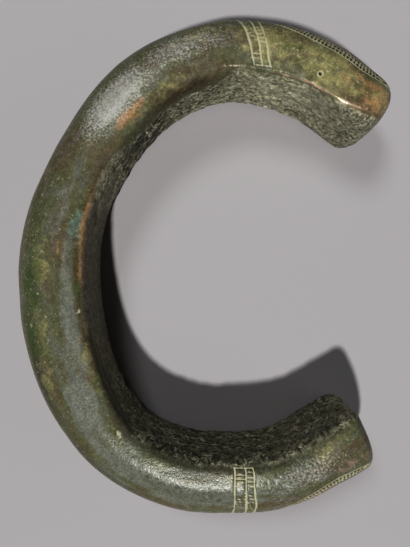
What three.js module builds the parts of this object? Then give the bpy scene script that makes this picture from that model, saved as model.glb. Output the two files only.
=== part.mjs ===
// Bronze torc: a heavy open neck ring, cast in one piece and lying flat.
//
// The bar follows an irregular C. Its section is a D: a nearly flat upright wall inside and a
// smooth round shoulder outside. Each terminal has a domed end, a collar of three fine grooves
// and, on its outer face, a long blunt-ended leaf outlined by a narrow channel.
//
// Millimetres, +Z up. X runs from the bow to the mouth, Y from terminal to terminal.

import * as THREE from 'three';

// ---------------------------------------------------------------- driving dimensions

// The inner wall in plan, from the lower terminal round the bow to the upper terminal.
const WALL_POINTS = [
  [48.5, -52.7], [40.5, -57.5], [26, -65], [9, -66.5],
  [-7.5, -64.5], [-23.5, -56], [-34.5, -37.5], [-40, -10.5],
  [-39, 15.5], [-29, 38], [-12.5, 57], [6.5, 66],
  [23, 65.5], [37.5, 60.5], [47.2, 53.8], [54.4, 48.4],
];
const TERMINAL_RUN = 6; // straight run of each terminal past the last wall point

// Values at even steps along the bar, from the lower terminal to the upper one.
const DEPTHS = [25, 23.5, 24.5, 24.5, 27.5, 27.5, 24.5, 25.5, 24, 23.3, 22.8];
const HEIGHTS = [34.5, 35.5, 33.5, 32.5, 32, 31.5, 32, 32.5, 33.5, 36.5, 35.5];
// How far the outer face lags behind the inner wall where the bar is crossed or cut off.
const LAGS = [3, 1, 0, 0, 0, 0, 0, 0, 5, 6, 0];

const RIDGE_INSET = 8; // from the inner wall to the highest line
const OUTER_POWER = 2.1; // roundness of the shoulder, where 2 is an ellipse
const INNER_POWER = 6; // squareness of the inner wall's two edges
const FOOT_FLAT = 0.3; // worn off below, so that the ring lies still
// Towards the upper terminal's end the wall's top edge draws back from the wall.
const SETBACK = 6;
const SETBACK_RUN = 20;
const SETBACK_POWER = 1.5;
// The domed ends: how far each runs past the last full section, and how square it is.
const LOWER_END = { reach: 7.5, power: 3.1 };
const UPPER_END = { reach: 10, power: 2.7 };

// The collars, by the distance of the middle groove from the terminal's end.
const LOWER_COLLAR = 43;
const UPPER_COLLAR = 47;
const GROOVE_PITCH = 3;
const GROOVE_HALF_WIDTH = 0.45;
const GROOVE_DEPTH = 0.35;

// The leaf on each outer face: where it starts and stops, as distances from the terminal's
// end, and its width by angles round the section, where 0 is the outermost line.
const LOWER_LEAF = [9, 34];
const UPPER_LEAF = [10.7, 39];
const LEAF_AXIS = 6;
const LEAF_HALF_WIDTH = 58;
const LEAF_TIP_HALF_WIDTH = 24;
const LEAF_FULLNESS = 0.6; // below 1 the leaf widens quickly from its blunt ends
const LEAF_EASE = 14; // the run in which the rows of the surface spread again past the leaf
const CHANNEL_RIM = 2.5; // degrees from a side channel's middle to its rim
const CHANNEL_BED = 1; // and to the edge of its bed
const CHANNEL_HALF_WIDTH = 0.6; // across the leaf's blunt ends
const CHANNEL_DEPTH = 0.35;

// Fineness of the surface.
const BODY_STEP = 5.5;
const TERMINAL_STEP = 2.8;
const END_TURNS = [18, 36, 52, 66, 77, 86]; // degrees from the last full section to the tip
const INNER_ROWS = [93, 98, 108, 122, 140, 158, 172]; // degrees, mirrored below
const ROWS_BELOW_LEAF = 4;
const ROWS_IN_LEAF = 7;
const ROWS_ABOVE_LEAF = 3;

// ---------------------------------------------------------------- the bar's line

const wall = new THREE.CatmullRomCurve3(
  WALL_POINTS.map(([x, y]) => new THREE.Vector3(x, y, 0)),
  false,
  'catmullrom',
  0.5,
);
wall.arcLengthDivisions = 2000;
const wallLength = wall.getLength();
const barStart = -TERMINAL_RUN;
const barEnd = wallLength + TERMINAL_RUN;
const barLength = barEnd - barStart;
const barMiddle = (barStart + barEnd) / 2;

// A point of the inner wall, with the outward direction there.
function wallFrame(distance) {
  const onWall = THREE.MathUtils.clamp(distance, 0, wallLength);
  const forward = wall.getTangentAt(onWall / wallLength);
  const point = wall.getPointAt(onWall / wallLength);
  point.addScaledVector(forward, distance - onWall);
  return { point, outward: new THREE.Vector3(-forward.y, forward.x, 0) };
}

// A smooth curve through values at even steps along the bar.
function alongBar(values, distance) {
  const share = THREE.MathUtils.clamp((distance - barStart) / barLength, 0, 1);
  const place = share * (values.length - 1);
  const step = Math.min(Math.floor(place), values.length - 2);
  const before = values[Math.max(step - 1, 0)];
  const after = values[Math.min(step + 2, values.length - 1)];
  return catmullRom(place - step, before, values[step], values[step + 1], after);
}

function catmullRom(t, before, from, to, after) {
  const slopeFrom = (to - before) / 2;
  const slopeTo = (after - from) / 2;
  const cubic = 2 * from - 2 * to + slopeFrom + slopeTo;
  const square = -3 * from + 3 * to - 2 * slopeFrom - slopeTo;
  return ((cubic * t + square) * t + slopeFrom) * t + from;
}

// ---------------------------------------------------------------- the leaves and collars

// The leaf at a distance from its terminal's end: its half width in degrees, which also
// places the rows of the surface outside it, whether its two side channels are there, and
// how much of the channel across its blunt ends.
function leafAt(fromEnd, [start, stop]) {
  const share = THREE.MathUtils.clamp((fromEnd - start) / (stop - start), 0, 1);
  const widening = Math.sin(Math.PI * share) ** LEAF_FULLNESS;
  const width = THREE.MathUtils.lerp(LEAF_TIP_HALF_WIDTH, LEAF_HALF_WIDTH, widening);
  const past = THREE.MathUtils.smoothstep(fromEnd, stop, stop + LEAF_EASE);
  const fromBluntEnd = Math.min(Math.abs(fromEnd - start), Math.abs(fromEnd - stop));
  return {
    halfWidth: THREE.MathUtils.lerp(width, LEAF_HALF_WIDTH, past),
    side: fromEnd >= start && fromEnd <= stop ? 1 : 0,
    across: Math.max(0, 1 - fromBluntEnd / CHANNEL_HALF_WIDTH),
  };
}

function grooveCentres() {
  const middles = [barStart + LOWER_COLLAR, barEnd - UPPER_COLLAR];
  return middles.flatMap((middle) => [middle - GROOVE_PITCH, middle, middle + GROOVE_PITCH]);
}

function leafEnds() {
  const lower = LOWER_LEAF.map((fromEnd) => barStart + fromEnd);
  const upper = UPPER_LEAF.map((fromEnd) => barEnd - fromEnd);
  return [...lower, ...upper];
}

function grooveDepthAt(distance) {
  const nearest = Math.min(...grooveCentres().map((centre) => Math.abs(distance - centre)));
  return GROOVE_DEPTH * Math.max(0, 1 - nearest / GROOVE_HALF_WIDTH);
}

// ---------------------------------------------------------------- the section

// The rows of the surface round the section, from the wall's foot round below, each with its
// angle and how deep it is cut.
function sectionRows(distance) {
  const nearUpper = distance > barMiddle;
  const fromEnd = nearUpper ? barEnd - distance : distance - barStart;
  const leaf = leafAt(fromEnd, nearUpper ? UPPER_LEAF : LOWER_LEAF);
  const groove = grooveDepthAt(distance);
  const lower = LEAF_AXIS - leaf.halfWidth;
  const upper = LEAF_AXIS + leaf.halfWidth;

  const inner = INNER_ROWS.map((angle) => ({ angle, cut: 0 }));
  const innerBelow = INNER_ROWS.map((angle) => ({ angle: -angle, cut: 0 })).reverse();
  const plain = (from, to, count, cut) => Array.from({ length: count }, (_, i) => ({
    angle: from + ((to - from) * (i + 1)) / (count + 1),
    cut,
  }));
  const bed = Math.max(groove, CHANNEL_DEPTH * leaf.side);
  const panel = Math.max(groove, CHANNEL_DEPTH * leaf.across);
  const channel = (middle) => [
    { angle: middle - CHANNEL_RIM, cut: groove },
    { angle: middle - CHANNEL_BED, cut: bed },
    { angle: middle + CHANNEL_BED, cut: bed },
    { angle: middle + CHANNEL_RIM, cut: groove },
  ];
  return [
    ...innerBelow,
    { angle: -90, cut: groove },
    ...plain(-90, lower - CHANNEL_RIM, ROWS_BELOW_LEAF, groove),
    ...channel(lower),
    ...plain(lower + CHANNEL_RIM, upper - CHANNEL_RIM, ROWS_IN_LEAF, panel),
    ...channel(upper),
    ...plain(upper + CHANNEL_RIM, 90, ROWS_ABOVE_LEAF, groove),
    { angle: 90, cut: groove },
    ...inner,
  ];
}

// How far the wall's top edge is drawn back at a distance along the bar.
function setbackAt(distance) {
  const share = Math.max(0, 1 - (barEnd - distance) / SETBACK_RUN);
  return SETBACK * share ** SETBACK_POWER;
}

// A point of the section: how far out from the inner wall, and how high. It is scaled and cut
// towards the section's middle.
function sectionPoint(angle, { depth, height, setback }, scale, cut) {
  const cos = Math.cos(THREE.MathUtils.degToRad(angle));
  const sin = Math.sin(THREE.MathUtils.degToRad(angle));
  const power = cos >= 0 ? OUTER_POWER : INNER_POWER;
  const rise = Math.sign(sin) * Math.abs(sin) ** (2 / power);
  const wallReach = RIDGE_INSET - setback * Math.max(rise, 0) ** 2;
  const reach = cos >= 0 ? depth - RIDGE_INSET : wallReach;
  const out = RIDGE_INSET + Math.sign(cos) * reach * Math.abs(cos) ** (2 / power);
  const up = (height / 2) * (1 + rise);
  const outward = depth / 2 + (out - depth / 2) * (scale - cut / (depth / 2));
  const raised = height / 2 + (up - height / 2) * (scale - cut / (height / 2));
  return [outward, Math.max(raised - FOOT_FLAT, 0)];
}

// ---------------------------------------------------------------- the surface

// The stations along the bar, each with how much of its full section a domed end leaves.
function barStations() {
  const first = barStart + LOWER_END.reach;
  const last = barEnd - UPPER_END.reach;
  const cuts = [
    ...grooveCentres().map((at) => ({ at, half: GROOVE_HALF_WIDTH })),
    ...leafEnds().map((at) => ({ at, half: CHANNEL_HALF_WIDTH })),
  ];
  const stations = cuts
    .flatMap(({ at, half }) => [at - half, at, at + half])
    .filter((at) => at > first && at < last);
  let distance = first;
  while (distance < last) {
    const clear = cuts.every(({ at, half }) => Math.abs(distance - at) > 2 * half);
    if (clear) stations.push(distance);
    const fromEnd = Math.min(distance - barStart, barEnd - distance);
    distance += fromEnd < UPPER_COLLAR ? TERMINAL_STEP : BODY_STEP;
  }
  stations.push(last);
  stations.sort((a, b) => a - b);
  const body = stations.map((at) => ({ at, scale: 1 }));
  const startDome = domeRows(LOWER_END).map(({ past, scale }) => ({ at: first - past, scale }));
  const endDome = domeRows(UPPER_END).map(({ past, scale }) => ({ at: last + past, scale }));
  return [...startDome.reverse(), ...body, ...endDome];
}

// The rows of a domed end, each with how far it lies past the last full section.
function domeRows({ reach, power }) {
  return END_TURNS.map((turn) => {
    const angle = THREE.MathUtils.degToRad(turn);
    return { past: reach * Math.sin(angle) ** (2 / power), scale: Math.cos(angle) ** (2 / power) };
  });
}

function stationPoints({ at, scale }) {
  const depth = alongBar(DEPTHS, at);
  const form = { depth, height: alongBar(HEIGHTS, at), setback: setbackAt(at) };
  const lag = alongBar(LAGS, at) * (at < barMiddle ? -1 : 1);
  return sectionRows(at).map(({ angle, cut }) => {
    const [out, up] = sectionPoint(angle, form, scale, cut);
    const { point, outward } = wallFrame(at + lag * (1 / 2 - out / depth));
    return point.addScaledVector(outward, out).setZ(up);
  });
}

// A closed skin: a ring of points for each station, joined in turn and capped at both ends.
function skin(rings) {
  const rows = rings[0].length;
  const caps = [rings[0], rings.at(-1)].map(centreOf);
  const points = [...rings.flat(), ...caps];
  const faces = [];
  for (let ring = 0; ring < rings.length - 1; ring += 1) {
    for (let row = 0; row < rows; row += 1) {
      const a = ring * rows + row;
      const b = ring * rows + ((row + 1) % rows);
      faces.push(a, b, a + rows, b, b + rows, a + rows);
    }
  }
  const startCap = points.length - 2;
  const endCap = points.length - 1;
  const lastRing = (rings.length - 1) * rows;
  for (let row = 0; row < rows; row += 1) {
    const next = (row + 1) % rows;
    faces.push(startCap, next, row);
    faces.push(endCap, lastRing + row, lastRing + next);
  }
  const geometry = new THREE.BufferGeometry().setFromPoints(points);
  geometry.setIndex(faces);
  return geometry;
}

function centreOf(ring) {
  const sum = ring.reduce((total, point) => total.add(point), new THREE.Vector3());
  return sum.divideScalar(ring.length);
}

// ---------------------------------------------------------------- the ring

function torcGeometry() {
  const geometry = skin(barStations().map(stationPoints));
  geometry.computeBoundingBox();
  const centre = geometry.boundingBox.getCenter(new THREE.Vector3());
  geometry.translate(-centre.x, -centre.y, -geometry.boundingBox.min.z);
  geometry.computeVertexNormals();
  return geometry;
}

const bronze = new THREE.MeshStandardMaterial({ color: 0x5f5a3f, roughness: 0.45, metalness: 0.8 });

const torc = new THREE.Mesh(torcGeometry(), bronze);
torc.name = 'torc';

const object = new THREE.Group();
object.add(torc);

export default object;
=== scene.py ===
"""Looks of the bronze torc: a heavy open neck ring with an aged bronze skin, lying on a table.

One finely meshed skin stands for the cast node. It follows the same section and line as the
solid, and carries what is too fine for the solid: the ladder bands of the leaves, the ticks
of the collars, pits, a dent, a worn rim and the rough inner wall. Lengths are in millimetres
until the mesh is made, distances along the bar run from the lower terminal's end to the upper
one's, and angles go round the section in degrees, with 0 outermost, 90 on the ridge and 180
on the inner wall.
"""

import itertools
import math

import bpy
import numpy as np
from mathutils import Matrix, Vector


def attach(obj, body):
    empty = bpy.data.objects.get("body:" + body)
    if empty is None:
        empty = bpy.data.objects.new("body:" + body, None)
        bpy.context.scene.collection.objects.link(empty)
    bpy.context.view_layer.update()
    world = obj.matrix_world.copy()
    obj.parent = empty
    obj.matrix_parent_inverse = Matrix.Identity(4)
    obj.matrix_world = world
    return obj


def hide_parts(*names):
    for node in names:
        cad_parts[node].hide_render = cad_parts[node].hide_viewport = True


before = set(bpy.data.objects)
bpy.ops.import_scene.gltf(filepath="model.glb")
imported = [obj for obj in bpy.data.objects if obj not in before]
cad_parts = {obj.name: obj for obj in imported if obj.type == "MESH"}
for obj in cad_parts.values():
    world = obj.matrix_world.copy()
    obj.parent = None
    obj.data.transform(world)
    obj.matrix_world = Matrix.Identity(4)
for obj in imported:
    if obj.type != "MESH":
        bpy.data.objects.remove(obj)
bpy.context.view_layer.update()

MM = 0.001


def smoothstep(value, start, full):
    """0 up to the start, 1 from full on; where the start is the larger, the other way round."""
    t = np.clip((value - start) / (full - start), 0, 1)
    return t * t * (3 - 2 * t)


def stretch(place, rise, fall):
    """1 along a stretch, easing in between two places and out between two others."""
    return smoothstep(place, *rise) * (1 - smoothstep(place, *fall))


def trough(distance, half_width):
    """1 in the middle of a cut, easing to 0 at its edges."""
    return np.clip(1 - np.abs(distance) / half_width, 0, 1)


# ------------------------------------------------------------------ the bar, as in the solid

# The inner wall in plan, from the lower terminal round the bow to the upper terminal.
WALL_POINTS = [
    (48.5, -52.7), (40.5, -57.5), (26, -65), (9, -66.5),
    (-7.5, -64.5), (-23.5, -56), (-34.5, -37.5), (-40, -10.5),
    (-39, 15.5), (-29, 38), (-12.5, 57), (6.5, 66),
    (23, 65.5), (37.5, 60.5), (47.2, 53.8), (54.4, 48.4),
]
TERMINAL_RUN = 6.0  # straight run of each terminal past the last wall point
# Values at even steps along the bar. A lag is how far the outer face stays behind the wall.
DEPTHS = [25, 23.5, 24.5, 24.5, 27.5, 27.5, 24.5, 25.5, 24, 23.3, 22.8]
HEIGHTS = [34.5, 35.5, 33.5, 32.5, 32, 31.5, 32, 32.5, 33.5, 36.5, 35.5]
LAGS = [3, 1, 0, 0, 0, 0, 0, 0, 5, 6, 0]
RIDGE_INSET = 8.0  # from the inner wall to the highest line
OUTER_POWER = 2.1  # roundness of the shoulder, where 2 is an ellipse
INNER_POWER = 6.0  # squareness of the wall's two edges
FOOT_FLAT = 0.3  # worn off below
# Towards the upper terminal's end the wall's top edge draws back from the wall.
SETBACK = 6.0
SETBACK_RUN = 20.0
SETBACK_POWER = 1.5
# How far each domed end runs past the last full section, and how square it is.
LOWER_END = {"reach": 7.5, "power": 3.1}
UPPER_END = {"reach": 10.0, "power": 2.7}
WALL_SAMPLES = 90  # between two wall points
PROBE = 0.4  # half the run over which the wall's direction is taken


def catmull_rom(t, before, start, stop, after):
    slope_start = (stop - before) / 2
    slope_stop = (after - start) / 2
    cubic = 2 * start - 2 * stop + slope_start + slope_stop
    square = 3 * (stop - start) - 2 * slope_start - slope_stop
    return ((cubic * t + square) * t + slope_start) * t + start


def wall_line():
    """Closely spaced points of the inner wall in plan, and the distance of each."""
    points = np.array(WALL_POINTS, float)
    padded = np.vstack([2 * points[0] - points[1], points, 2 * points[-1] - points[-2]])
    t = np.linspace(0, 1, WALL_SAMPLES, endpoint=False)[:, None]
    spans = [catmull_rom(t, *padded[i:i + 4]) for i in range(len(points) - 1)]
    line = np.vstack([*spans, points[-1:]])
    steps = np.hypot(*np.diff(line, axis=0).T)
    return line, np.concatenate([[0], np.cumsum(steps)])


LINE, LINE_AT = wall_line()
WALL_LENGTH = LINE_AT[-1]
BAR_LENGTH = WALL_LENGTH + 2 * TERMINAL_RUN


def along_bar(values, along):
    """A smooth curve through values at even steps along the bar."""
    values = np.array(values, float)
    place = np.clip(along / BAR_LENGTH, 0, 1) * (len(values) - 1)
    step = np.minimum(place.astype(int), len(values) - 2)
    before = values[np.maximum(step - 1, 0)]
    after = values[np.minimum(step + 2, len(values) - 1)]
    return catmull_rom(place - step, before, values[step], values[step + 1], after)


def on_line(distance):
    return np.stack([np.interp(distance, LINE_AT, LINE[:, k]) for k in (0, 1)], -1)


def wall_at(along):
    """Points of the inner wall in plan, and the outward direction at each."""
    at = along - TERMINAL_RUN
    inside = np.clip(at, 0, WALL_LENGTH)
    ahead = np.clip(inside + PROBE, 0, WALL_LENGTH)
    behind = np.clip(inside - PROBE, 0, WALL_LENGTH)
    forward = on_line(ahead) - on_line(behind)
    forward /= np.linalg.norm(forward, axis=-1, keepdims=True)
    point = on_line(inside) + forward * (at - inside)[..., None]
    return point, np.stack([-forward[..., 1], forward[..., 0]], -1)


def setback_at(along):
    """How far the wall's top edge is drawn back."""
    share = np.maximum(0, 1 - (BAR_LENGTH - along) / SETBACK_RUN)
    return SETBACK * share ** SETBACK_POWER


def section(angle, along):
    """How far out from the inner wall, and how high, at an angle round the section."""
    depth, height = along_bar(DEPTHS, along), along_bar(HEIGHTS, along)
    cos, sin = np.cos(np.radians(angle)), np.sin(np.radians(angle))
    power = np.where(cos >= 0, OUTER_POWER, INNER_POWER)
    rise = np.sign(sin) * np.abs(sin) ** (2 / power)
    wall_reach = RIDGE_INSET - setback_at(along) * np.maximum(rise, 0) ** 2
    reach = np.where(cos >= 0, depth - RIDGE_INSET, wall_reach)
    out = RIDGE_INSET + np.sign(cos) * reach * np.abs(cos) ** (2 / power)
    return out, height / 2 * (1 + rise)


def surface(along, scale, angle):
    """Points of the bar's surface, where a domed end scales the section down."""
    depth = along_bar(DEPTHS, along)
    height = along_bar(HEIGHTS, along)
    side = np.where(along - TERMINAL_RUN < 0.5 * WALL_LENGTH, -1, 1)
    lag = along_bar(LAGS, along) * side
    out, up = section(angle, along)
    out = depth / 2 + (out - depth / 2) * scale
    up = height / 2 + (up - height / 2) * scale
    point, outward = wall_at(along + lag * (0.5 - out / depth))
    plan = point + outward * out[..., None]
    return np.concatenate([plan, np.maximum(up - FOOT_FLAT, 0)[..., None]], -1)


# ------------------------------------------------------------------ the leaves' outline

# Distances from the terminal's own end, the angle of the upper edge at its widest, and how
# full the outline is towards the tip and towards the collar.
LOWER_LEAF = {"start": 2.6, "stop": 34.5, "top": 55.0, "fullness": (0.12, 0.3)}
UPPER_LEAF = {"start": 3.4, "stop": 43.0, "top": 64.0, "fullness": (0.16, 0.3)}
LEAF_AXIS = 6.0
BAND_INSIDE = 4.5  # the finely meshed band beside the leaf's edge
BAND_OUTSIDE = 0.9


def leaf_angle(from_end, leaf):
    """The upper edge of a leaf, as an angle; the lower edge mirrors it about the axis."""
    share = np.clip((from_end - leaf["start"]) / (leaf["stop"] - leaf["start"]), 0, 1)
    tip, tail = leaf["fullness"]
    power = tip + (tail - tip) * share
    arch = np.clip(np.sin(np.pi * share), 0, 1) ** power
    return LEAF_AXIS + (leaf["top"] - LEAF_AXIS) * arch


# ------------------------------------------------------------------ the grid

# Rows of each group round the section: foot to leaf, the leaf's lower band, its field, its
# upper band, on to the ridge, to the crease, down the wall, and back under to the foot.
ROW_COUNTS = [14, 18, 20, 22, 18, 18, 50, 10]
TERMINAL_STEP = 0.31
BODY_STEP = 0.8
DOME_ROWS = 22
LAST_DOME_TURN = 89  # degrees, just short of the dome's tip
SECTION_SAMPLES = 900
LOWER_FINE = 50.0  # how much of each terminal is finely meshed
UPPER_FINE = 54.0
BOW_EDGE = 56.0  # where the band rows run on the bow
LEAST_EDGE = 32.0  # and how near the leaf's axis they may come on a leaf
LEAST_TIP_EDGE = 40.0
LEAF_EASE = 14.0  # the run in which they leave a leaf for the bow's level
CREASE = 140.0  # the wall's top edge


def bar_stations():
    """Distances along the bar, each with the share of its section that a domed end leaves."""
    first, last = LOWER_END["reach"], BAR_LENGTH - UPPER_END["reach"]
    body = [first]
    while body[-1] < last - TERMINAL_STEP:
        fine = body[-1] < LOWER_FINE or body[-1] > BAR_LENGTH - UPPER_FINE
        body.append(body[-1] + (TERMINAL_STEP if fine else BODY_STEP))
    body[-1] = last
    low_past, low_scale = dome_rows(LOWER_END)
    high_past, high_scale = dome_rows(UPPER_END)
    along = np.concatenate([(first - low_past)[::-1], body, last + high_past])
    scale = np.concatenate([low_scale[::-1], np.ones(len(body)), high_scale])
    return along, scale


def dome_rows(end):
    """How far each row of a domed end lies past the last full section, and its scale."""
    turns = np.radians(np.linspace(0, LAST_DOME_TURN, DOME_ROWS + 1)[1:])
    past = end["reach"] * np.sin(turns) ** (2 / end["power"])
    return past, np.cos(turns) ** (2 / end["power"])


def edge_angle(along):
    """The angle that the fine rows follow: a leaf's edge, eased to a level line on the bow."""
    angle = np.full(along.shape, BOW_EDGE)
    for from_end, leaf in ((along, LOWER_LEAF), (BAR_LENGTH - along, UPPER_LEAF)):
        middle = (leaf["start"] + leaf["stop"]) / 2
        edge = np.maximum(leaf_angle(from_end, leaf), LEAST_EDGE)
        edge = np.where(from_end < middle, np.maximum(edge, LEAST_TIP_EDGE), edge)
        past = from_end - leaf["stop"]
        edge = edge + (BOW_EDGE - edge) * smoothstep(past, 0, LEAF_EASE)
        angle = np.where(past < LEAF_EASE, edge, angle)
    return angle


def even_angles():
    """Angles round the section at about even steps of its outline, from -180 to 180."""
    around = np.radians(np.linspace(-180, 180, SECTION_SAMPLES + 1))
    cos, sin = np.cos(around), np.sin(around)
    power = np.where(cos >= 0, OUTER_POWER, INNER_POWER)
    radius = (np.abs(cos) ** power + np.abs(sin) ** power) ** (-1 / power)
    c = np.sign(cos) * (radius * np.abs(cos)) ** (power / 2)
    s = np.sign(sin) * (radius * np.abs(sin)) ** (power / 2)
    angle = np.degrees(np.arctan2(s, c))
    angle[0] = -180.0
    return angle


def grid_rows(along):
    """The angle of each row at each station, with how far round it lies from the ridge and
    from the crease, in mm and positive towards the outer face."""
    samples = even_angles()
    out, up = section(samples[None], along[:, None])
    arcs = np.cumsum(np.hypot(np.diff(out, axis=1), np.diff(up, axis=1)), axis=1)
    arcs = np.concatenate([np.zeros((len(along), 1)), arcs], axis=1)
    angles, from_ridge, from_crease = [], [], []
    for arc, edge in zip(arcs, edge_angle(along)):
        marks = [-CREASE, -90.0, 2 * LEAF_AXIS - edge, edge, 90.0, CREASE, 180.0]
        low_crease, foot, low, high, ridge, crease, whole = np.interp(marks, samples, arc)
        stops = [
            foot, low - BAND_OUTSIDE, low + BAND_INSIDE, high - BAND_INSIDE,
            high + BAND_OUTSIDE, ridge, crease, whole + low_crease, whole + foot,
        ]
        rows = np.concatenate([
            np.linspace(start, stop, count, endpoint=False)
            for start, stop, count in zip(stops[:-1], stops[1:], ROW_COUNTS)
        ])
        wrapped = np.where(rows > whole, rows - whole, rows)
        angles.append(np.interp(wrapped, arc, samples))
        from_ridge.append(ridge - rows)
        from_crease.append(crease - rows)
    return np.array(angles), np.array(from_ridge), np.array(from_crease)


def centring(points):
    """The move that puts the middle of the ring's box over the origin."""
    low, high = points.reshape(-1, 3).min(0), points.reshape(-1, 3).max(0)
    return np.array([-(low[0] + high[0]) / 2, -(low[1] + high[1]) / 2, 0.0])


def grid_normals(points):
    lengthwise = np.gradient(points, axis=0)
    around = np.roll(points, -1, axis=1) - np.roll(points, 1, axis=1)
    normal = np.cross(around, lengthwise)
    normal /= np.maximum(np.linalg.norm(normal, axis=-1, keepdims=True), 1e-9)
    return normal


STATION_ALONG, STATION_SCALE = bar_stations()
angles, from_ridge, from_crease = grid_rows(STATION_ALONG)
STATIONS, ROWS = angles.shape
along = np.repeat(STATION_ALONG[:, None], ROWS, axis=1)
scale = np.repeat(STATION_SCALE[:, None], ROWS, axis=1)
from_lower, from_upper = along, BAR_LENGTH - along
base = surface(along, scale, angles)
SHIFT = centring(base)
base += SHIFT
normals = grid_normals(base)


def skin_points(places):
    """Points on the full section, each from a distance along the bar and an angle."""
    at, angle = np.array(places, float).T
    return surface(at, np.ones(len(places)), angle) + SHIFT


def spot_distance(place):
    """Distance in mm from a spot on the skin."""
    return np.linalg.norm(base - skin_points([place])[0], axis=-1)


def stroke_distance(start, stop):
    """Distance in mm from a short straight stroke on the skin."""
    first, last = skin_points([start, stop])
    stroke = last - first
    share = np.clip((base - first) @ stroke / (stroke @ stroke), 0, 1)
    return np.linalg.norm(base - first - share[..., None] * stroke, axis=-1)


# ------------------------------------------------------------------ noise

LATTICE = 48
NOISE_OFFSET = 1000.0  # keeps every lattice place positive


def noise(size, seed):
    """Smooth noise from -1 to 1 over the skin, with features of the given size in mm."""
    lattice = np.random.default_rng(seed).random((LATTICE,) * 3) * 2 - 1
    place = base / size + NOISE_OFFSET
    cell = np.floor(place).astype(int)
    t = smoothstep(place - cell, 0, 1)
    total = np.zeros(along.shape)
    for corner in itertools.product((0, 1), repeat=3):
        share = np.where(corner, t, 1 - t)
        x, y, z = np.moveaxis((cell + corner) % LATTICE, -1, 0)
        total += share[..., 0] * share[..., 1] * share[..., 2] * lattice[x, y, z]
    return total


# ------------------------------------------------------------------ the rough inner wall

# Places along the bar where something eases in, or eases in and then out again.
SMOOTH_BOW = ((88, 122), (156, 192))  # the wall is nearly as smooth as the outer face
RUBBED_TERMINAL = (236, 250)  # from here on the top edge is rubbed smooth
CALM_TERMINAL = (250, 268)
EDGE_DRAWS_BACK = (262, 274)  # by 1 mm
LOWER_ARM_END = (66, 88)
LOWER_RUNOVER = ((80, 94), (110, 124))  # smooth metal runs down over the top edge
UPPER_RUNOVER = ((184, 200), (226, 235))
RIM_STRETCH = ((232, 244), (274, 282))

# How far below the crease the rough skin begins in these places.
LOWER_RUNOVER_DROP = 6.0
UPPER_RUNOVER_DROP = 8.0
RUBBED_DROP = 1.3
# Where it starts and where it is full, past its edge, and what each stretch adds to these.
EDGE_EASE = (-2.0, 0.2)
RUBBED_ADDS = (-0.3, -1.4)
BOW_ADDS = (-1.4, 1.6)
# On the lower arm the dark rough wall starts further out, which also paints the shade beside
# its top edge.
LOWER_ARM_ADDS = (-1.6, -1.0)
# It fades out towards the foot, by the height over the floor, and inwards on a domed end.
FOOT_HEIGHTS = (2.5, 0.5)
FOOT_LOSS = 0.8
END_FADE = (3.6, 5.6)

KNOB_HEIGHT = 0.34
VEIN_HEIGHT = 0.22
CALM_LOSS = 0.75  # the share of this relief that a calm stretch loses
CALM_TERMINAL_SHARE = 0.3  # how calm the upper terminal is, beside the bow
RIM_HEIGHT = 0.5
RIM_TURN = 1.2  # from the crease
RIM_HALF_WIDTH = 1.6

keeps_edge = smoothstep(along, *RUBBED_TERMINAL)
lower_arm = 1 - smoothstep(along, *LOWER_ARM_END)
edge_back = smoothstep(along, *EDGE_DRAWS_BACK)


def bow_smoothness():
    """How nearly the wall is as smooth as the outer face, with ragged ends."""
    ragged = along + 9.0 * noise(9.0, seed=5) + 5.0 * noise(3.5, seed=6)
    return stretch(ragged, *SMOOTH_BOW)


def wall_share(smoother):
    """How much of a point belongs to the rough inner wall. The edge wanders a little."""
    steadier = np.maximum(0.7 * smoother, 0.6 * keeps_edge)
    wander = (0.9 * noise(6.0, seed=3) + 0.4 * noise(2.2, seed=4)) * (1 - steadier)
    drop = UPPER_RUNOVER_DROP * stretch(along, *UPPER_RUNOVER)
    drop += LOWER_RUNOVER_DROP * stretch(along, *LOWER_RUNOVER)
    drop += RUBBED_DROP * keeps_edge * (1 - edge_back)
    past_edge = wander - from_crease - drop * (1 + 0.16 * noise(4.0, seed=7))
    starts, full = (
        plain + rubbed * keeps_edge + bow * smoother + arm * lower_arm
        for plain, rubbed, bow, arm in zip(EDGE_EASE, RUBBED_ADDS, BOW_ADDS, LOWER_ARM_ADDS)
    )
    foot = smoothstep(base[..., 2], *FOOT_HEIGHTS)
    share = smoothstep(past_edge, starts, full)
    share = np.where(from_ridge > 0, 0, share) * (1 - FOOT_LOSS * foot)
    end_inset = along_bar(DEPTHS, along) / 2 * (1 - scale)
    return share * (1 - smoothstep(end_inset + wander, *END_FADE))


def cast_relief(calmer):
    """The knobs and veins left by the mould."""
    knobs = noise(2.6, seed=21) + 0.6 * noise(1.4, seed=22)
    veins = 1 - np.abs(noise(2.1, seed=23)) * 2
    return (KNOB_HEIGHT * knobs + VEIN_HEIGHT * veins) * (1 - CALM_LOSS * calmer)


def rim_relief():
    """The slight worn rim along the upper terminal's top edge."""
    past_rim = from_crease - RIM_TURN - edge_back
    return RIM_HEIGHT * stretch(along, *RIM_STRETCH) * np.exp(-(past_rim / RIM_HALF_WIDTH) ** 2)


smoother = bow_smoothness()
calmer = np.maximum(smoother, CALM_TERMINAL_SHARE * smoothstep(along, *CALM_TERMINAL))
wall_mask = wall_share(smoother)
wall_relief = cast_relief(calmer)

# ------------------------------------------------------------------ collars

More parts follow.
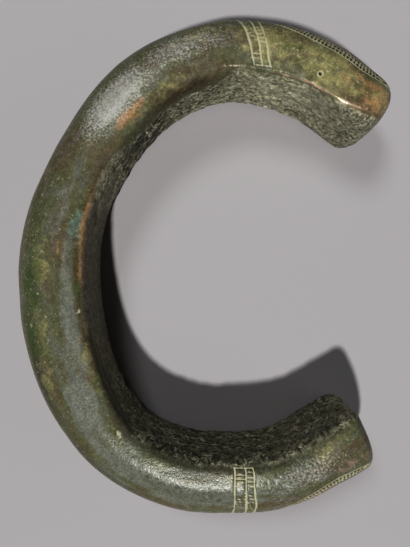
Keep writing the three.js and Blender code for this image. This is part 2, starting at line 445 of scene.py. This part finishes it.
# The grooves, by their distances from the terminal's own end, then how much they bow, and
# how far each one leans.
LOWER_COLLAR = {
    "grooves": (40.1, 42.6, 46.2), "half_width": 0.476, "bow": 0.9, "leans": (0.0, 0.0, 0.0),
}
UPPER_COLLAR = {
    "grooves": (44.9, 47.2, 49.8), "half_width": 0.578, "bow": -0.4, "leans": (0.75, 0.4, 0.35),
}
COLLAR_MIDDLE = 60.0  # the angle where lean and bow turn, and the angle to their full size
COLLAR_SWING = 60.0
UNSTEADY = 0.16  # how far the grooves stray
WANDER_SHARES = (1.3, 0.7, 1.0)  # how closely each groove follows the bow
GROOVE_DEPTH = 0.32
GROOVE_STOP = 118.0  # the angle at which the grooves run out, short of the inner edge
GROOVE_FOOT = -95.0  # and where they stop below
GROOVE_EASE = 8.0
TICK_PITCHES = (1.6, 1.25)  # between the first two grooves and between the last two
TICK_DEPTH = 0.2
TICK_HALF_WIDTH = 0.28  # as a share of the pitch
TICK_MARGIN = 0.3


def collar_fields():
    """The pale cut lines of the collars and the ticks between them."""
    lines = np.zeros(along.shape)
    ticks = np.zeros(along.shape)
    cut_face = 1 - smoothstep(angles, GROOVE_STOP - GROOVE_EASE, GROOVE_STOP)
    cut_face = np.where(angles < GROOVE_FOOT, 0, cut_face)
    swing = (angles - COLLAR_MIDDLE) / COLLAR_SWING
    unsteady = UNSTEADY * noise(7.0, seed=31)
    for from_end, collar in ((from_lower, LOWER_COLLAR), (from_upper, UPPER_COLLAR)):
        grooves, leans = collar["grooves"], collar["leans"]
        wander = collar["bow"] * (swing ** 2 - 0.4) + unsteady
        for k, centre in enumerate(grooves):
            offset = from_end - centre - wander * WANDER_SHARES[k] + leans[k] * swing
            uneven = 0.85 + 0.3 * noise(2.4, seed=35 + k)
            line = trough(offset, collar["half_width"]) * uneven * cut_face
            lines = np.maximum(lines, np.clip(line, 0, 1))
        for k, pitch in enumerate(TICK_PITCHES):
            slanted = from_end - wander + leans[k] * swing
            between = slanted > grooves[k] + TICK_MARGIN
            between &= slanted < grooves[k + 1] - TICK_MARGIN
            phase = (from_ridge / pitch) % 1.0
            strength = smoothstep(noise(3.0, seed=32 + k), -0.7, 0.0)
            tick = trough(phase - 0.5, TICK_HALF_WIDTH) * between * cut_face
            ticks = np.maximum(ticks, tick * strength)
    return lines, ticks


lines, ticks = collar_fields()

# ------------------------------------------------------------------ the leaves' ladders

LINE_HALF_WIDTH = 0.48  # to the outside of its soft edge
LINE_DEPTH = 0.24
THIN_HALF_WIDTH = 0.288
THIN_DEPTH = 0.1
CELL_ROWS = [(0.5, 1.85), (2.35, 3.6)]  # from the leaf's edge inwards
THIN_LINES = [2.1, 3.9]
CELL_PITCH = 1.42
TICK_SHARE = 0.4  # of the pitch, the bar left between two cells
CELL_DEPTH = 0.3
CELL_EASE = 0.1
EDGE_SAMPLES = 900
CHUNK = 4000  # points measured at a time
FAR_OUTSIDE = -50.0
LEAF_MARGIN = 4.0  # past the leaf's stop, and these angles, nothing is measured
LEAF_FACE = (-75, 80)
TIP_RUN = 14.0  # the run of a terminal's end where the ladder is worn away
TIP_ANGLES = (22, 34)  # from the leaf's axis


def leaf_edges(leaf, flip):
    """Both edges of a leaf, closely sampled, each with the distance run along it."""
    share = (1 - np.cos(np.linspace(0, np.pi, EDGE_SAMPLES))) / 2
    from_end = leaf["start"] + share * (leaf["stop"] - leaf["start"])
    edge_along = BAR_LENGTH - from_end if flip else from_end
    edge_scale = np.interp(edge_along, STATION_ALONG, STATION_SCALE)
    rise = leaf_angle(from_end, leaf) - LEAF_AXIS
    for side in (1, -1):
        edge = surface(edge_along, edge_scale, LEAF_AXIS + side * rise) + SHIFT
        steps = np.linalg.norm(np.diff(edge, axis=0), axis=1)
        yield edge, np.concatenate([[0], np.cumsum(steps)])


def nearest_on(edge, run, cloud):
    """How far each point is from an edge, and how far along the edge the nearest place is."""
    gaps, runs = [], []
    for start in range(0, len(cloud), CHUNK):
        gap = np.linalg.norm(cloud[start:start + CHUNK, None] - edge[None], axis=2)
        gaps.append(gap.min(1))
        runs.append(run[gap.argmin(1)])
    return np.concatenate(gaps), np.concatenate(runs)


def ladder_place():
    """Signed distance into each leaf from its edge, and distance along that edge, in mm."""
    into = np.full(along.shape, FAR_OUTSIDE)
    beside = np.zeros(along.shape)
    for from_end, leaf, flip in (
        (from_lower, LOWER_LEAF, False),
        (from_upper, UPPER_LEAF, True),
    ):
        near = from_end < leaf["stop"] + LEAF_MARGIN
        near &= (angles > LEAF_FACE[0]) & (angles < LEAF_FACE[1])
        best = np.full(near.sum(), np.inf)
        travelled = np.zeros(near.sum())
        for edge, run in leaf_edges(leaf, flip):
            gap, place = nearest_on(edge, run, base[near])
            travelled = np.where(gap < best, place, travelled)
            best = np.minimum(gap, best)
        limit = leaf_angle(from_end[near], leaf) - LEAF_AXIS
        held = (from_end[near] > leaf["start"]) & (from_end[near] < leaf["stop"])
        inside = held & (np.abs(angles[near] - LEAF_AXIS) < limit)
        into[near] = np.where(inside, best, -best)
        beside[near] = travelled
    return into, beside


def ladder_cells(into, beside):
    """The two rows of sunk cells."""
    phase = (beside / CELL_PITCH) % 1.0
    shape = smoothstep(np.abs(phase - 0.5), 0.5 - TICK_SHARE / 2, 0.5 - TICK_SHARE)
    cells = np.zeros(along.shape)
    for start, stop in CELL_ROWS:
        row = smoothstep(into, start - CELL_EASE, start + CELL_EASE)
        row *= smoothstep(into, stop + CELL_EASE, stop - CELL_EASE)
        cells = np.maximum(cells, row * shape)
    return cells


into, beside = ladder_place()
across_end = np.minimum(from_lower, from_upper) < TIP_RUN
off_axis = np.abs(angles - LEAF_AXIS)
worn_away = np.where(across_end, 1 - smoothstep(off_axis, *TIP_ANGLES), 0)
cells = ladder_cells(into, beside) * (1 - worn_away)
edge_line = trough(into, LINE_HALF_WIDTH) * (1 - 0.2 * worn_away)
thin_lines = np.maximum.reduce([trough(into - at, THIN_HALF_WIDTH) for at in THIN_LINES])
thin_lines = thin_lines * (1 - worn_away)

# ------------------------------------------------------------------ single marks

# Each place is a distance along the bar and an angle.
PINHOLE = (261.5, 93.0)
BLOB = (85.6, 95.0)
DOT = (128.2, 108.0)
DENT = (162.5, 176.0)
SCRATCHES = [((131.9, 48.0), (130.1, 60.0)), ((130.1, 60.0), (132.8, 70.0))]
# The relief of each, and the distances from its middle where it starts and is full.
PINHOLE_LIP = (0.12, 1.5, 0.8)
PINHOLE_FLOOR = (-0.8, 0.75, 0.3)
BLOB_CROWN = (0.3, 1.6, 0.5)
DENT_BOTTOM = (-0.9, 8.0, 1.0)
PITS = 150
PIT_SEED = 77
PIT_REACHES = (0.35, 0.9)
PIT_FLAT = 0.3  # the share of its reach that is a pit's bottom
PIT_DEPTHS = (0.06, 0.2)
PIT_ANGLES = (-40, 100)
PIT_MARGIN = 12  # from each terminal's end

hole = spot_distance(PINHOLE)
dot = spot_distance(DOT)
dent = spot_distance(DENT)
blob = spot_distance(BLOB) * 1.4 + 0.3 * noise(1.0, seed=61)
scratch = np.minimum.reduce([stroke_distance(*ends) for ends in SCRATCHES])


def pit_relief():
    """Scattered corrosion pits on the smooth faces."""
    rng = np.random.default_rng(PIT_SEED)
    relief = np.zeros(along.shape)
    for _ in range(PITS):
        reach = rng.uniform(*PIT_REACHES)
        at = rng.uniform(PIT_MARGIN, BAR_LENGTH - PIT_MARGIN)
        spot = spot_distance((at, rng.uniform(*PIT_ANGLES)))
        relief -= rng.uniform(*PIT_DEPTHS) * smoothstep(spot, reach, reach * PIT_FLAT)
    return relief


# ------------------------------------------------------------------ the relief, all together

SWELL_HEIGHT = 0.16
RIPPLE_HEIGHT = 0.06
HOLLOW_DEPTH = 0.05


def mark_relief():
    """The pinhole with its lip, the blob and the dent."""
    relief = np.zeros(along.shape)
    for distance, (height, start, full) in (
        (hole, PINHOLE_LIP),
        (hole, PINHOLE_FLOOR),
        (blob, BLOB_CROWN),
        (dent, DENT_BOTTOM),
    ):
        relief += height * smoothstep(distance, start, full)
    return relief


def skin_relief():
    """How far each point stands out from the plain section."""
    relief = SWELL_HEIGHT * noise(11.0, seed=11) + RIPPLE_HEIGHT * noise(4.0, seed=12)
    hollows = smoothstep(noise(1.3, seed=13), 0.35, 0.9)
    relief -= HOLLOW_DEPTH * hollows * (1 - wall_mask)
    relief += wall_mask * wall_relief
    relief += rim_relief()
    relief -= GROOVE_DEPTH * lines + TICK_DEPTH * ticks
    relief -= LINE_DEPTH * edge_line + THIN_DEPTH * thin_lines + CELL_DEPTH * cells
    relief += pit_relief()
    relief += mark_relief()
    return relief


# The relief gets lower towards the tip of a domed end, where the rows run together.
points = base + normals * (skin_relief() * np.sqrt(scale))[..., None]
points[..., 2] = np.maximum(points[..., 2], 0.0)

# ------------------------------------------------------------------ colour masks

# Each patch: distance along the bar, angle, half length, half width, strength.
GREEN = [
    (138, 56, 12, 5, 0.9), (122, 50, 9, 5, 0.9), (262, 70, 4, 3, 0.4), (252, 80, 6, 6, 0.4),
    (160, 50, 16, 5, 0.5), (100, 50, 14, 4, 0.4), (136, 112, 9, 1.6, 0.7),
]
OLIVE = [
    (124, 64, 8, 4, 0.6), (144, 68, 10, 4, 0.6), (109, 54, 8, 4, 0.5), (248, 80, 12, 9, 0.8),
    (228, 62, 12, 5, 0.5), (264, 88, 14, 9, 0.9), (110, 110, 16, 2.2, 0.5), (14, 92, 8, 5, 0.5),
    (284, 74, 5, 5, 0.9), (212, 104, 15, 3.6, 0.45),
]
COPPER = [
    (154, 132, 13, 1.9, 1.4), (198, 94, 6, 2.4, 0.8), (279, 86, 11, 8, 0.6),
    (150, 88, 6, 2, 0.4), (145, 132, 8, 1.6, 1.1),
]
PINK = [(11, 68, 5, 2.6, 0.7), (4, 64, 4, 3, 0.5)]
# Whitish frosting, brightened into a painted highlight where the second light glints on the
# upper arm.
FROST_AND_HIGHLIGHT = [(198, 76, 12, 6, 1.4), (24, 86, 12, 5, 0.6), (222, 70, 14, 6, 0.7)]
# Painted sheen: grey bands where the lights' soft reflection runs along the crests of the left
# and lower arms.
PAINTED_SHEEN_BAND = [
    (124, 91, 28, 3.8, 1.05), (98, 85, 13, 5, 1.3), (160, 84, 14, 4, 0.5),
    (63, 78, 36, 6.5, 1.1),
]
# Brown stains beside the wall's top edge, which also paint the shade that falls along that
# edge.
UMBER_AND_SHADE = [(143, 128, 34, 3.4, 1.0), (172, 122, 12, 3.0, 0.6), (214, 160, 17, 4.6, 0.8)]
# Dark stains, partly painted shade: beside the lower arm's top edge, under its highlight and by
# the lower terminal's top edge.
DIRT_AND_SHADE = [
    (112, 44, 22, 3.2, 0.9), (84, 40, 24, 4, 0.6), (56, 118, 40, 4.2, 1.0),
    (14, 114, 9, 3, 0.8), (62, 86, 30, 8, 0.55),
]
FLECKS = [(140, 58, 34, 7, 0.5), (256, 78, 20, 10, 0.8), (16, 88, 12, 8, 0.4)]
PALE_WALL = [(255, 172, 20, 14, 1.0)]
# Darker stretches of the inner wall: soot, and painted shade where the wall faces away from the
# lights, as on the lower arm.
SOOT_AND_SHADE = [
    (64, 170, 40, 30, 1.0), (198, 180, 20, 24, 1.4), (223, 176, 11, 13, 1.0),
    (284, 180, 8, 24, 0.8), (12, 180, 12, 24, 0.7),
]
TURQUOISE = [(157, 104, 5, 3, 1.2), (152, 112, 3, 2, 0.6), (205, 66, 3, 3, 0.4)]

WORN_TURN = 1.6  # from the crease to the worn line of the upper terminal's top edge
WORN_HALF_WIDTH = 0.5
WORN_STRETCH = ((238, 252), (279, 283))
WORN_BRIGHTER = (264, 273)
LADDER_GROUND = ((0.2, 0.5), (3.9, 4.1))  # how far into the leaf the pale ground runs
FULL_RIDGE = 0.5  # the wall relief that counts as a full ridge
CELLS_FILLED = 0.35  # of the lower leaf's cells


def turns_at(angle):
    """How far round from the ridge an angle lies, at every station."""
    unwrapped = np.where(angles < -90, angles + 360, angles)
    return np.array([np.interp(angle, row, turns) for row, turns in zip(unwrapped, from_ridge)])


def patch(centre_along, centre_angle, half_length, half_width):
    """A soft-edged patch on the skin, 1 in its middle."""
    centre_turn = np.interp(centre_along, STATION_ALONG, turns_at(centre_angle))
    away = ((along - centre_along) / half_length) ** 2
    away = away + ((from_ridge - centre_turn) / half_width) ** 2
    return np.exp(-away)


def patches(listed):
    total = np.zeros(along.shape)
    for *place_and_size, strength in listed:
        total = np.maximum(total, strength * patch(*place_and_size))
    return total


def worn_and_glint_line():
    """The line where the upper terminal's top edge is worn to bare metal, painted pale enough
    to also stand for the light that catches this rim.
    """
    past_line = from_crease - (WORN_TURN + edge_back + 0.5 * noise(5.0, seed=51))
    worn = np.exp(-(past_line / WORN_HALF_WIDTH) ** 2) * stretch(along, *WORN_STRETCH)
    worn *= 0.8 + 0.15 * smoothstep(along, *WORN_BRIGHTER)
    return worn * (0.75 + 0.4 * noise(3.2, seed=52))


def deposit_mask():
    """Pale deposit in the cut ornament and on the single marks."""
    ground = stretch(into, *LADDER_GROUND) * (1 - cells) * (1 - worn_away)
    pinhole_ring = smoothstep(hole, 1.4, 0.9) * (1 - smoothstep(hole, 0.8, 0.5))
    return np.maximum.reduce([
        smoothstep(lines, 0.15, 0.6),
        smoothstep(ticks, 0.2, 0.8) * 0.85,
        smoothstep(edge_line, 0.15, 0.6),
        smoothstep(thin_lines, 0.2, 0.7) * 0.7,
        ground * 0.75,
        pinhole_ring,
        smoothstep(blob, 1.8, 1.0) * 0.8,
        smoothstep(dot, 0.9, 0.3) * 0.9,
        smoothstep(scratch, 0.7, 0.2) * 0.4,
    ])


def recess_shade_mask():
    """Painted shade in the sunk cells and at the bottom of the pinhole."""
    return np.maximum(cells * (1 - CELLS_FILLED * lower_arm), smoothstep(hole, 0.6, 0.35))


masks = {
    "wall": wall_mask,
    "ridges": np.clip(0.5 + 0.5 * wall_relief / FULL_RIDGE, 0, 1),
    "smooth": calmer,
    "deposit": deposit_mask(),
    # Painted shade in the cells and the pinhole.
    "cells": recess_shade_mask(),
    "wear_and_glint": worn_and_glint_line(),
    "green": patches(GREEN),
    "olive": patches(OLIVE),
    "copper": patches(COPPER),
    "pink": patches(PINK),
    "frost_and_highlight": patches(FROST_AND_HIGHLIGHT),
    "painted_sheen": patches(PAINTED_SHEEN_BAND),
    "umber_and_shade": patches(UMBER_AND_SHADE),
    "dirt_and_shade": patches(DIRT_AND_SHADE),
    "flecks": patches(FLECKS),
    "pale": patches(PALE_WALL),
    "soot_and_shade": patches(SOOT_AND_SHADE),
    "turquoise": patches(TURQUOISE),
    "run": along,
    "turn": from_ridge,
}

# ------------------------------------------------------------------ the mesh


def skin_faces():
    """Quads between each two stations, and a fan at each end."""
    ring = np.arange(ROWS)
    after = (ring + 1) % ROWS
    quads = []
    for i in range(STATIONS - 1):
        a, b = i * ROWS + ring, i * ROWS + after
        quads.append(np.stack([a, b, b + ROWS, a + ROWS], 1))
    faces = np.vstack(quads).tolist()
    last = (STATIONS - 1) * ROWS
    start_cap, end_cap = STATIONS * ROWS, STATIONS * ROWS + 1
    faces += [[start_cap, int(b), int(a)] for a, b in zip(ring, after)]
    faces += [[end_cap, int(last + a), int(last + b)] for a, b in zip(ring, after)]
    return faces


def torc_mesh():
    caps = [points[0].mean(0), points[-1].mean(0)]
    vertices = np.vstack([points.reshape(-1, 3), caps])
    mesh = bpy.data.meshes.new("torc_skin")
    mesh.from_pydata((vertices * MM).tolist(), [], skin_faces())
    mesh.update()
    mesh.shade_smooth()
    for name, field in masks.items():
        flat = field.reshape(-1)
        values = np.concatenate([flat, [flat[0], flat[-1]]]).astype(np.float32)
        layer = mesh.attributes.new(name, "FLOAT", "POINT")
        layer.data.foreach_set("value", values)
    return mesh


skin = bpy.data.objects.new("torc_skin", torc_mesh())
bpy.context.scene.collection.objects.link(skin)

# ------------------------------------------------------------------ the bronze


def linear(value):
    value /= 255
    return value / 12.92 if value <= 0.04045 else ((value + 0.055) / 1.055) ** 2.4


def srgb(red, green, blue):
    """A colour given as it looks, from 0 to 255, in linear values."""
    return (linear(red), linear(green), linear(blue), 1.0)


# The colour sockets of a Mix node, which share their names with its other sockets.
COLOUR_A, COLOUR_B, COLOUR_RESULT = 6, 7, 2


class Nodes:
    """Short names for the nodes of one material."""

    def __init__(self, material):
        material.use_nodes = True
        self.tree = material.node_tree
        self.tree.nodes.clear()
        self.place = self.new("ShaderNodeTexCoord").outputs["Object"]

    def new(self, kind):
        return self.tree.nodes.new(kind)

    def link(self, source, target):
        self.tree.links.new(source, target)

    def put(self, socket, value):
        """Joins a socket to another node's output, or sets the socket's own value."""
        if hasattr(value, "links"):
            self.link(value, socket)
        else:
            socket.default_value = value

    def attribute(self, name):
        node = self.new("ShaderNodeAttribute")
        node.attribute_name = name
        return node.outputs["Fac"]

    def lengthwise(self, stretched):
        """A place on the skin whose noises come out longer along the bar."""
        node = self.new("ShaderNodeCombineXYZ")
        self.link(self.times(self.attribute("run"), MM / stretched), node.inputs["X"])
        self.link(self.times(self.attribute("turn"), MM), node.inputs["Y"])
        return node.outputs["Vector"]

    def noise(self, size, detail=3.0, roughness=0.6, distortion=0.0, place=None):
        node = self.new("ShaderNodeTexNoise")
        node.inputs["Scale"].default_value = 1 / (size * MM)
        node.inputs["Detail"].default_value = detail
        node.inputs["Roughness"].default_value = roughness
        node.inputs["Distortion"].default_value = distortion
        self.link(place or self.place, node.inputs["Vector"])
        return node.outputs["Fac"]

    def math(self, operation, first, second=0.0, clamp=False):
        node = self.new("ShaderNodeMath")
        node.operation = operation
        node.use_clamp = clamp
        self.put(node.inputs[0], first)
        self.put(node.inputs[1], second)
        return node.outputs[0]

    def times(self, first, second):
        return self.math("MULTIPLY", first, second)

    def plus(self, first, second, clamp=False):
        return self.math("ADD", first, second, clamp)

    def ramp(self, value, start, stop, low=0.0, high=1.0):
        node = self.new("ShaderNodeMapRange")
        node.interpolation_type = "SMOOTHSTEP"
        self.put(node.inputs["Value"], value)
        node.inputs["From Min"].default_value = start
        node.inputs["From Max"].default_value = stop
        node.inputs["To Min"].default_value = low
        node.inputs["To Max"].default_value = high
        return node.outputs["Result"]

    def mix(self, share, first, second, blend="MIX"):
        node = self.new("ShaderNodeMix")
        node.data_type = "RGBA"
        node.blend_type = blend
        self.put(node.inputs["Factor"], share)
        self.put(node.inputs[COLOUR_A], first)
        self.put(node.inputs[COLOUR_B], second)
        return node.outputs[COLOUR_RESULT]


BROWN_TONE = srgb(108, 101, 84)
OLIVE_BROWN = srgb(106, 107, 86)
GREY_TONE = srgb(115, 116, 110)
# The colour of the painted sheen.
SHEEN_TONE = srgb(126, 128, 119)
YELLOW_TONE = srgb(156, 151, 115)
GREEN_TONE = srgb(87, 98, 70)
TURQUOISE_TONE = srgb(112, 132, 124)
COPPER_TONE = srgb(164, 135, 102)
PINK_TONE = srgb(144, 128, 120)
# Brown stain and painted shade by the wall's top edge.
UMBER_AND_SHADE_TONE = srgb(86, 76, 57)
# Dark stain and painted shade.
DIRT_AND_SHADE_TONE = srgb(75, 75, 64)
# Bare metal, made pale to also paint the highlight on the rim.
WORN_AND_GLINT_TONE = srgb(208, 182, 168)
DEPOSIT_TONE = srgb(184, 181, 158)
# Whitish frosting and painted highlight.
FROST_AND_HIGHLIGHT_TONE = srgb(178, 177, 174)
WALL_DARK = srgb(94, 93, 78)
WALL_MIDDLE = srgb(160, 158, 139)
WALL_PALE = srgb(208, 206, 184)
WALL_SMOOTH = srgb(126, 122, 111)
# Soot and painted shade on the inner wall.
SOOT_AND_SHADE_TONE = srgb(76, 76, 67)
# Painted shade in the sunk cells and the pinhole.
CELL_SHADE_TONE = srgb(46, 46, 38)

GRAIN_STRETCH = 2.6  # of the stains along the bar
SPECULAR = 0.08
BASE_METAL = 0.03
WORN_METAL = 0.2
GLOSS_RANGE = (0.17, 0.32)  # roughness of the smooth faces
WALL_ROUGHER = 0.24
DEPOSIT_ROUGHER = 0.3
BUMP_HEIGHT = 0.09
BUMP_STRENGTH = 0.8


def broken(n, name, source, strength):
    """A painted mask whose edge and body are broken up by a noise."""
    mask = n.attribute(name)
    ragged = n.times(n.math("SUBTRACT", source, 0.5), 2.4)
    share = n.ramp(n.plus(mask, ragged), 0.1, 1.0, 0.0, strength)
    return n.times(share, n.ramp(mask, 0.02, 0.35))


def patina_tone(n, cloud, mottle, speck):
    """The smooth faces: drifting browns and greys, with stains, painted sheen, painted
    highlights and painted shade over them.
    """
    drift = n.noise(9.0, 3.0, place=n.lengthwise(GRAIN_STRETCH))
    blotch = n.noise(3.6, 4.0, 0.6)
    tone = n.mix(n.ramp(drift, 0.4, 0.58), BROWN_TONE, OLIVE_BROWN)
    tone = n.mix(n.ramp(cloud, 0.45, 0.66, 0.0, 0.6), tone, GREY_TONE)
    for name, source, strength, colour in (
        ("painted_sheen", cloud, 0.9, SHEEN_TONE),
        ("dirt_and_shade", mottle, 0.85, DIRT_AND_SHADE_TONE),
        ("umber_and_shade", cloud, 0.9, UMBER_AND_SHADE_TONE),
        ("olive", blotch, 0.8, YELLOW_TONE),
        ("green", blotch, 0.85, GREEN_TONE),
        ("turquoise", mottle, 0.6, TURQUOISE_TONE),
        ("copper", cloud, 0.9, COPPER_TONE),
        ("pink", mottle, 0.7, PINK_TONE),
        ("frost_and_highlight", speck, 0.6, FROST_AND_HIGHLIGHT_TONE),
    ):
        tone = n.mix(broken(n, name, source, strength), tone, colour)
    return tone


def raised_traces(n, speck):
    """Short pale wrinkles of the inner wall, thicker in some places."""
    worm = n.noise(2.8, 2.5, 0.55, distortion=0.4)
    worm = n.math("ABSOLUTE", n.math("SUBTRACT", worm, 0.5))
    clumps = n.ramp(n.noise(6.0, 2.0), 0.4, 0.6, 0.35, 1.0)
    raised = n.times(n.ramp(worm, 0.0, 0.09, 1.0, 0.0), clumps)
    return n.times(raised, n.ramp(speck, 0.38, 0.56, 0.35, 1.0))


def wall_tone(n, lumps, raised):
    """The rough inner wall, from its dark hollows to its pale wrinkles."""
    tone = n.mix(n.ramp(lumps, 0.38, 0.62), WALL_DARK, WALL_MIDDLE)
    tone = n.mix(n.ramp(n.attribute("ridges"), 0.35, 0.9, 0.0, 0.5), tone, WALL_MIDDLE)
    # Painted shade and soot on the wall, laid before the pale wrinkles.
    tone = n.mix(n.times(n.attribute("soot_and_shade"), 0.7), tone, SOOT_AND_SHADE_TONE)
    tone = n.mix(n.times(raised, 0.8), tone, WALL_PALE)
    tone = n.mix(n.times(n.attribute("pale"), 0.17), tone, WALL_PALE)
    return n.mix(n.times(n.attribute("smooth"), 0.7), tone, WALL_SMOOTH)


def shaded(n, tone, mottle, speck):
    """The fine light and dark of the whole skin, and its scattered pale specks."""
    shade = n.times(n.ramp(speck, 0.3, 0.7, 0.83, 1.15), n.ramp(mottle, 0.35, 0.65, 0.88, 1.12))
    tone = n.mix(1.0, tone, shade, "MULTIPLY")
    flecked = n.plus(n.noise(1.0, 2.0, 0.5), n.times(n.attribute("flecks"), 0.1))
    return n.mix(n.ramp(flecked, 0.67, 0.75, 0.0, 0.55), tone, DEPOSIT_TONE)


def skin_bump(n, wall, lumps, raised):
    """Fine grain everywhere, and coarser lumps on the rough wall."""
    grain = n.plus(n.noise(0.8, 3.0, 0.6), n.times(n.noise(1.8, 3.0, 0.6), 0.5))
    rugged = n.math("SUBTRACT", wall, n.times(n.attribute("smooth"), 0.8), clamp=True)
    coarse = n.times(n.plus(n.times(lumps, 3.2), n.times(raised, 1.3)), rugged)
    bump = n.new("ShaderNodeBump")
    bump.inputs["Distance"].default_value = BUMP_HEIGHT * MM
    bump.inputs["Strength"].default_value = BUMP_STRENGTH
    n.link(n.plus(grain, coarse), bump.inputs["Height"])
    return bump.outputs["Normal"]


def bronze_material():
    material = bpy.data.materials.new("aged_bronze")
    n = Nodes(material)
    cloud = n.noise(3.6, 4.0, 0.6, place=n.lengthwise(GRAIN_STRETCH))
    mottle = n.noise(2.2, 5.0, 0.65)
    speck = n.noise(0.8, 3.0, 0.7)
    lumps = n.noise(1.7, 3.0, 0.6)
    raised = raised_traces(n, speck)
    wall = n.attribute("wall")
    deposit = n.plus(n.attribute("deposit"), n.times(mottle, 0.9))
    deposit = n.ramp(deposit, 0.65, 1.35, 0.0, 0.85)
    worn = n.ramp(n.plus(n.attribute("wear_and_glint"), n.times(mottle, 0.6)), 0.5, 1.2)

    tone = n.mix(wall, patina_tone(n, cloud, mottle, speck), wall_tone(n, lumps, raised))
    tone = shaded(n, tone, mottle, speck)
    tone = n.mix(deposit, tone, DEPOSIT_TONE)
    tone = n.mix(n.attribute("cells"), tone, CELL_SHADE_TONE)
    # The worn rim, partly a painted highlight.
    tone = n.mix(worn, tone, WORN_AND_GLINT_TONE)
    rough = n.plus(n.ramp(speck, 0.3, 0.7, *GLOSS_RANGE), n.times(wall, WALL_ROUGHER))
    rough = n.plus(rough, n.times(deposit, DEPOSIT_ROUGHER), clamp=True)

    shader = n.new("ShaderNodeBsdfPrincipled")
    shader.inputs["Specular IOR Level"].default_value = SPECULAR
    n.link(tone, shader.inputs["Base Color"])
    n.link(n.plus(n.times(worn, WORN_METAL), BASE_METAL, clamp=True), shader.inputs["Metallic"])
    n.link(rough, shader.inputs["Roughness"])
    n.link(skin_bump(n, wall, lumps, raised), shader.inputs["Normal"])
    output = n.new("ShaderNodeOutputMaterial")
    n.link(shader.outputs["BSDF"], output.inputs["Surface"])
    return material


skin.data.materials.append(bronze_material())
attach(skin, "root")
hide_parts("torc")

# ------------------------------------------------------------------ table and lights

FLOOR_HALF = 0.9  # metres
FLOOR_DROP = 0.0002  # so that the foot and the floor don't flicker
FLOOR_TONE = srgb(165, 162, 163)
FLOOR_ROUGHNESS = 0.9
WORLD_TONE = (0.95, 0.97, 1.0, 1.0)
WORLD_STRENGTH = 0.03
# Each light: its name, the direction it comes from, strength, spread in degrees, colour.
LIGHTS = [
    ("key_light", (-4.7, -19.6, 33.0), 2.85, 4.0, (1.0, 1.0, 1.0)),
    ("second_light", (-11.8, 18.8, 33.0), 0.87, 18.0, (0.98, 0.99, 1.0)),
    ("side_fill", (1.0, -0.1, 0.15), 0.5, 50.0, (1.0, 1.0, 1.0)),
]


def plain_table():
    half = FLOOR_HALF
    corners = [(-half, -half, 0), (half, -half, 0), (half, half, 0), (-half, half, 0)]
    mesh = bpy.data.meshes.new("table_top")
    mesh.from_pydata(corners, [], [(0, 1, 2, 3)])
    table = bpy.data.objects.new("table_top", mesh)
    bpy.context.scene.collection.objects.link(table)
    material = bpy.data.materials.new("table_paper")
    material.use_nodes = True
    shader = material.node_tree.nodes["Principled BSDF"]
    shader.inputs["Base Color"].default_value = FLOOR_TONE
    shader.inputs["Roughness"].default_value = FLOOR_ROUGHNESS
    table.data.materials.append(material)
    table.location.z = -FLOOR_DROP


def sun(name, towards, strength, spread, colour):
    """A far light, shining from the direction given."""
    light = bpy.data.lights.new(name, "SUN")
    light.energy = strength
    light.angle = math.radians(spread)
    light.color = colour
    lamp = bpy.data.objects.new(name, light)
    lamp.rotation_mode = "QUATERNION"
    lamp.rotation_quaternion = Vector(towards).to_track_quat("Z", "Y")
    bpy.context.scene.collection.objects.link(lamp)


def studio_world():
    """A nearly dark room for the object, with a backdrop in the floor's tone for the camera."""
    world = bpy.data.worlds.new("studio")
    world.use_nodes = True
    nodes, links = world.node_tree.nodes, world.node_tree.links
    room = nodes["Background"]
    room.inputs["Color"].default_value = WORLD_TONE
    room.inputs["Strength"].default_value = WORLD_STRENGTH
    backdrop = nodes.new("ShaderNodeBackground")
    backdrop.inputs["Color"].default_value = FLOOR_TONE
    path = nodes.new("ShaderNodeLightPath")
    either = nodes.new("ShaderNodeMixShader")
    links.new(path.outputs["Is Camera Ray"], either.inputs["Fac"])
    links.new(room.outputs[0], either.inputs[1])
    links.new(backdrop.outputs[0], either.inputs[2])
    links.new(either.outputs[0], nodes["World Output"].inputs["Surface"])
    bpy.context.scene.world = world


plain_table()
for light in LIGHTS:
    sun(*light)
studio_world()

# ------------------------------------------------------------------ camera

CAMERA_PLACE = (0.97, -2.43, 194.2)  # looking straight down
LENS_SHARE = 470 / 547  # focal length over the picture's long side
SENSOR = 36.0
CLIP_START = 0.01  # metres
PIVOT = 0.39  # the table's own tone stays as it is
CONTRAST = 1.6
DARK_LEVELS = (0.05, 0.12, 0.25)
BRIGHT_LEVEL = (0.7, 0.76)  # a bright tone, and what it becomes
COMBINED_CURVE = 3  # after those of red, green and blue


def overhead_camera():
    data = bpy.data.cameras.new("camera")
    data.sensor_width = SENSOR
    data.lens = SENSOR * LENS_SHARE
    data.clip_start = CLIP_START
    camera = bpy.data.objects.new("camera", data)
    camera.location = [value * MM for value in CAMERA_PLACE]
    bpy.context.scene.collection.objects.link(camera)
    bpy.context.scene.camera = camera


def camera_contrast():
    """The tone curve of an ordinary camera: darker shadows, bright tones kept."""
    view = bpy.context.scene.view_settings
    view.view_transform = "Standard"
    view.use_curve_mapping = True
    curve = view.curve_mapping.curves[COMBINED_CURVE]
    for level in DARK_LEVELS:
        curve.points.new(level, PIVOT * (level / PIVOT) ** CONTRAST)
    curve.points.new(PIVOT, PIVOT)
    curve.points.new(*BRIGHT_LEVEL)
    view.curve_mapping.update()


overhead_camera()
camera_contrast()
